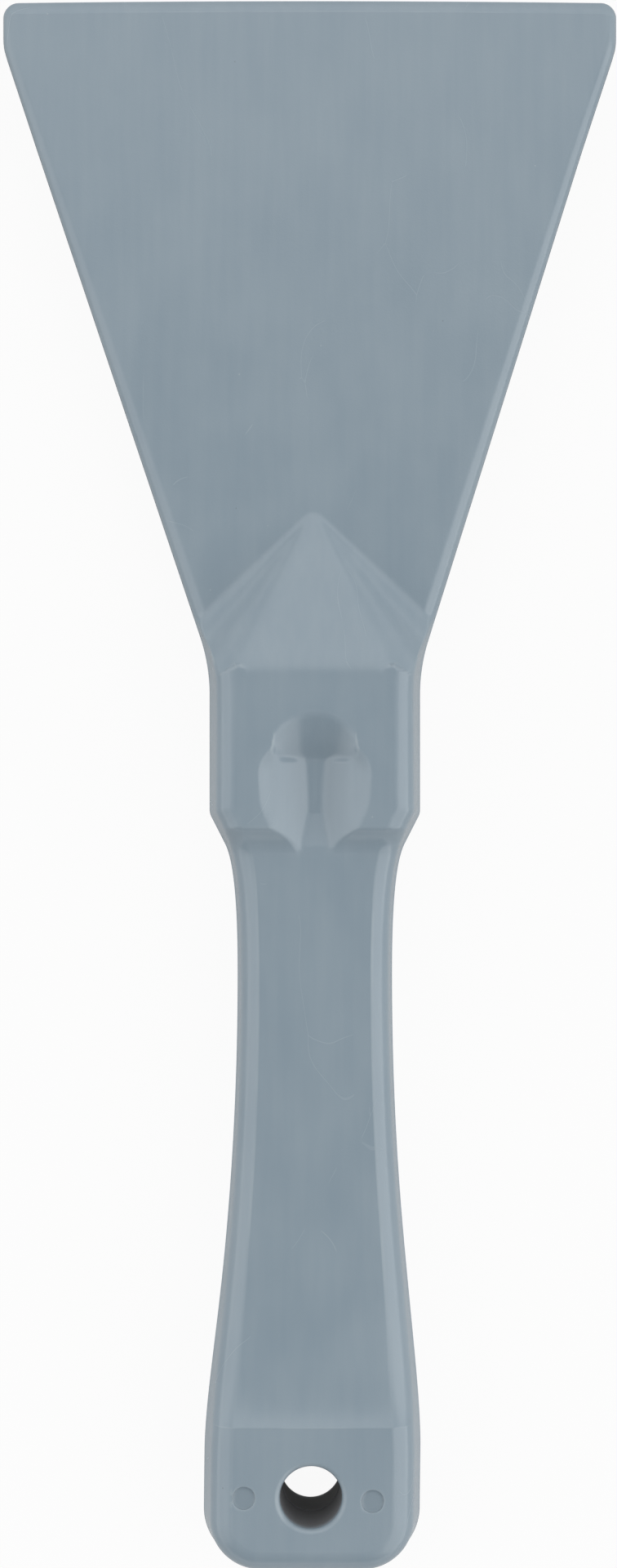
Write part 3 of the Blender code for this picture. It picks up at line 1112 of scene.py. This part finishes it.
def plasticMaterial():
    look = plasticLook
    material, tree = newMaterial("greyBluePlastic")
    shader = tree.nodes["Principled BSDF"]

    clouds = useGroup(tree, unevenness, Size=look["cloudSize"], Stretch=1.5, Detail=3.0)
    streaks = useGroup(tree, unevenness, Size=look["streakSize"], Stretch=look["streakStretch"], Detail=2.0)
    grain = useGroup(tree, unevenness, Size=look["grainSize"], Stretch=1.0, Detail=1.0)
    ripples = useGroup(tree, unevenness, Size=look["rippleSize"], Stretch=2.0, Detail=1.0)
    dark, pale = [useGroup(tree, specks, Spacing=look["speckSpacing"], Size=look["speckSize"], Shift=shift)
                  for shift in (0.0, look["paleSpeckShift"])]
    scratched = useGroup(tree, scratches, Spacing=look["scratchSpacing"], Width=look["scratchWidth"],
                         Stretch=2.0)
    # paler worn edges, partly a painted highlight
    wornAndHighlit = rangeNode(tree, ripples, *look["wornPatches"], look["wornLeast"], 1.0)
    wornAndHighlit = mathNode(tree, "MULTIPLY", attributeNode(tree, "edgeWearAndHighlight"), wornAndHighlit)
    # painted shade in the bore, made uneven by the grain
    shadeInBore = attributeNode(tree, "borePaintedShade")
    mottledBoreShade = mathNode(tree, "MULTIPLY", shadeInBore, rangeNode(tree, grain, 0.0, 1.0, look["boreShadeLeast"], 1.0))
    # painted shade on the ejector marks' floors
    shadedMarkFloor = attributeNode(tree, "markFloor")

    # colour: clouds and flow streaks, specks, paler worn edges (partly a painted highlight) and scratches,
    # painted shade on the ejector marks' floors and in the bore
    share = mathNode(tree, "MULTIPLY_ADD", streaks, look["streakShare"],
                     mathNode(tree, "MULTIPLY", clouds, 1 - look["streakShare"]))
    colour = mixColours(tree, share, look["deepColour"], look["lightColour"])
    for mask, most, laid in ((dark, "speckShare", "speckColour"),
                             (pale, "paleSpeckShare", "paleSpeckColour"),
                             (wornAndHighlit, "wornAndHighlightShare", "wornAndHighlightColour"),
                             (scratched, "scratchShare", "wornAndHighlightColour"),
                             (shadedMarkFloor, "markFloorShadeShare", "markFloorShadeColour")):
        colour = mixColours(tree, mathNode(tree, "MULTIPLY", mask, look[most]), colour, look[laid])
    # painted shade in the bore
    colour = mixColours(tree, mottledBoreShade, colour, look["boreShadeColour"])
    join(tree, colour, shader.inputs["Base Color"])

    # roughness: satin, a little smoother where it is worn
    rough = rangeNode(tree, clouds, 0.0, 1.0, *look["roughness"])
    rough = mathNode(tree, "MULTIPLY_ADD", wornAndHighlit, look["wornRoughness"], rough)
    rough = mathNode(tree, "MULTIPLY_ADD", scratched, look["scratchRoughness"], rough)
    rough = mathNode(tree, "MULTIPLY_ADD", shadeInBore, look["boreShadeRoughness"], rough, clamp=True)

    normal = bumpNode(tree, ripples, look["rippleDepth"])
    normal = bumpNode(tree, grain, look["grainDepth"], normal)
    normal = bumpNode(tree, scratched, look["scratchDepth"], normal, sunk=True)
    feed(tree, shader, Roughness=rough, Normal=normal)
    return material


print("plastic")
plasticShape.materials.append(plasticMaterial())


# floor, light and camera

floorLook = {
    "size": 5.6,
    "deepColour": (0.54, 0.54, 0.53, 1),
    "lightColour": (0.58, 0.58, 0.58, 1),
    "cloudSize": 400.0,
    "plainShare": 0.94,       # how much of it shows as plain white; the rest holds the shadow
    "reflectedShare": 0.2,    # and how much in reflections
}


def whiteShare(tree, direct, reflected):
    # what the camera sees, and what gloss and glass show
    path = addNode(tree, "LightPath")
    indirect = mathNode(tree, "MAXIMUM", path.outputs["Is Glossy Ray"], path.outputs["Is Transmission Ray"])
    indirect = mathNode(tree, "MULTIPLY", indirect, reflected)
    seen = mathNode(tree, "MULTIPLY", path.outputs["Is Camera Ray"], direct)
    return mathNode(tree, "MAXIMUM", seen, indirect)


def floorMaterial():
    look = floorLook
    material, tree = newMaterial("paleFloor")
    tree.nodes.clear()
    output = addNode(tree, "OutputMaterial")
    lit = addNode(tree, "BsdfDiffuse")
    clouds = useGroup(tree, unevenness, Size=look["cloudSize"], Stretch=1.0, Detail=3.0)
    join(tree, mixColours(tree, clouds, look["deepColour"], look["lightColour"]), lit.inputs["Color"])
    white = feed(tree, addNode(tree, "Emission"), Color=(1, 1, 1, 1), Strength=1.0)
    share = whiteShare(tree, look["plainShare"], look["reflectedShare"])
    blend = feed(tree, addNode(tree, "MixShader"), share, lit.outputs[0], white.outputs[0])
    join(tree, blend.outputs[0], output.inputs["Surface"])
    return material


def makeFloor():
    mesh = bmesh.new()
    bmesh.ops.create_grid(mesh, x_segments=8, y_segments=8, size=floorLook["size"] / 2)
    floor = meshObject("floor", mesh)
    floor.data.materials.append(floorMaterial())


print("floor")
makeFloor()

softboxDistance = 3.2
softboxes = {
    # name: (azimuth from +X, elevation, radius in metres, power)
    "rightSoftbox": (-25, 33, 2.3, 82),
    "leftSoftbox": (190, 28, 2.25, 52),
    "tipSoftbox": (93, 45, 2.0, 26),
}


def addSoftbox(name, azimuth, elevation, radius, power):
    lamp = bpy.data.lights.new(name, "AREA")
    lamp.shape = "DISK"
    lamp.size = 2 * radius
    lamp.energy = power
    item = bpy.data.objects.new(name, lamp)
    turn, lift = math.radians(azimuth), math.radians(elevation)
    place = Vector((math.cos(lift) * math.cos(turn), math.cos(lift) * math.sin(turn), math.sin(lift)))
    item.location = place * softboxDistance
    item.rotation_euler = (-place).to_track_quat("-Z", "Y").to_euler()
    item.visible_camera = False
    bpy.context.collection.objects.link(item)


print("light")
for name, values in softboxes.items():
    addSoftbox(name, *values)

roomLook = {
    "strength": 0.76,
    "behindButt": 0.04,       # the room is dark past the butt
    "buttFade": (-0.6, 0.0),  # lengthwise share of the direction between which it gets light
    "horizon": 1.2,
    "horizonRises": (4, 16),  # elevations in degrees between which it fades
    "cameraShade": (75, 84),  # the camera darkens what is straight above these
}


def makeRoom():
    look = roomLook
    world = bpy.data.worlds.new("studioRoom")
    bpy.context.scene.world = world
    world.use_nodes = True
    tree = world.node_tree
    tree.nodes.clear()
    output = addNode(tree, "OutputWorld")
    direction = addNode(tree, "TexCoord").outputs["Generated"]
    toward = feed(tree, addNode(tree, "SeparateXYZ"), direction)
    up = [math.sin(math.radians(e)) for e in look["horizonRises"]]
    over = [math.sin(math.radians(e)) for e in look["cameraShade"]]
    strength = rangeNode(tree, toward.outputs["Y"], *look["buttFade"], look["behindButt"], look["strength"])
    fade = rangeNode(tree, toward.outputs["Z"], *up, 0.0, 1.0)
    horizon = mathNode(tree, "MULTIPLY", mathNode(tree, "SUBTRACT", 1.0, fade), look["horizon"])
    strength = mathNode(tree, "MULTIPLY_ADD", strength, fade, horizon)
    shade = rangeNode(tree, toward.outputs["Z"], *over, 1.0, 0.0)
    strength = mathNode(tree, "MULTIPLY", strength, shade)
    room = feed(tree, addNode(tree, "Background"), Color=(1, 1, 1, 1), Strength=strength)
    join(tree, room.outputs[0], output.inputs["Surface"])


makeRoom()

cameraSizes = {
    "height": 479.0,
    "aside": -0.20,
    "ahead": -0.24,
    "pixelsPerRay": 3457,     # pixels of the photo for a slope of 1 away from its middle
    "photoHeight": 1920,      # in pixels
    "sensorHeight": 24.0,
}


def makeCamera():
    # straight above the middle of the tool, with the blade up
    sizes = cameraSizes
    lens = bpy.data.cameras.new("camera")
    lens.sensor_fit = "VERTICAL"
    lens.sensor_height = sizes["sensorHeight"]
    lens.lens = sizes["pixelsPerRay"] / sizes["photoHeight"] * sizes["sensorHeight"]
    camera = bpy.data.objects.new("camera", lens)
    camera.location = (sizes["aside"] * mm, sizes["ahead"] * mm, sizes["height"] * mm)
    bpy.context.collection.objects.link(camera)
    bpy.context.scene.camera = camera


print("camera")
makeCamera()
bpy.context.scene.view_settings.view_transform = "Standard"
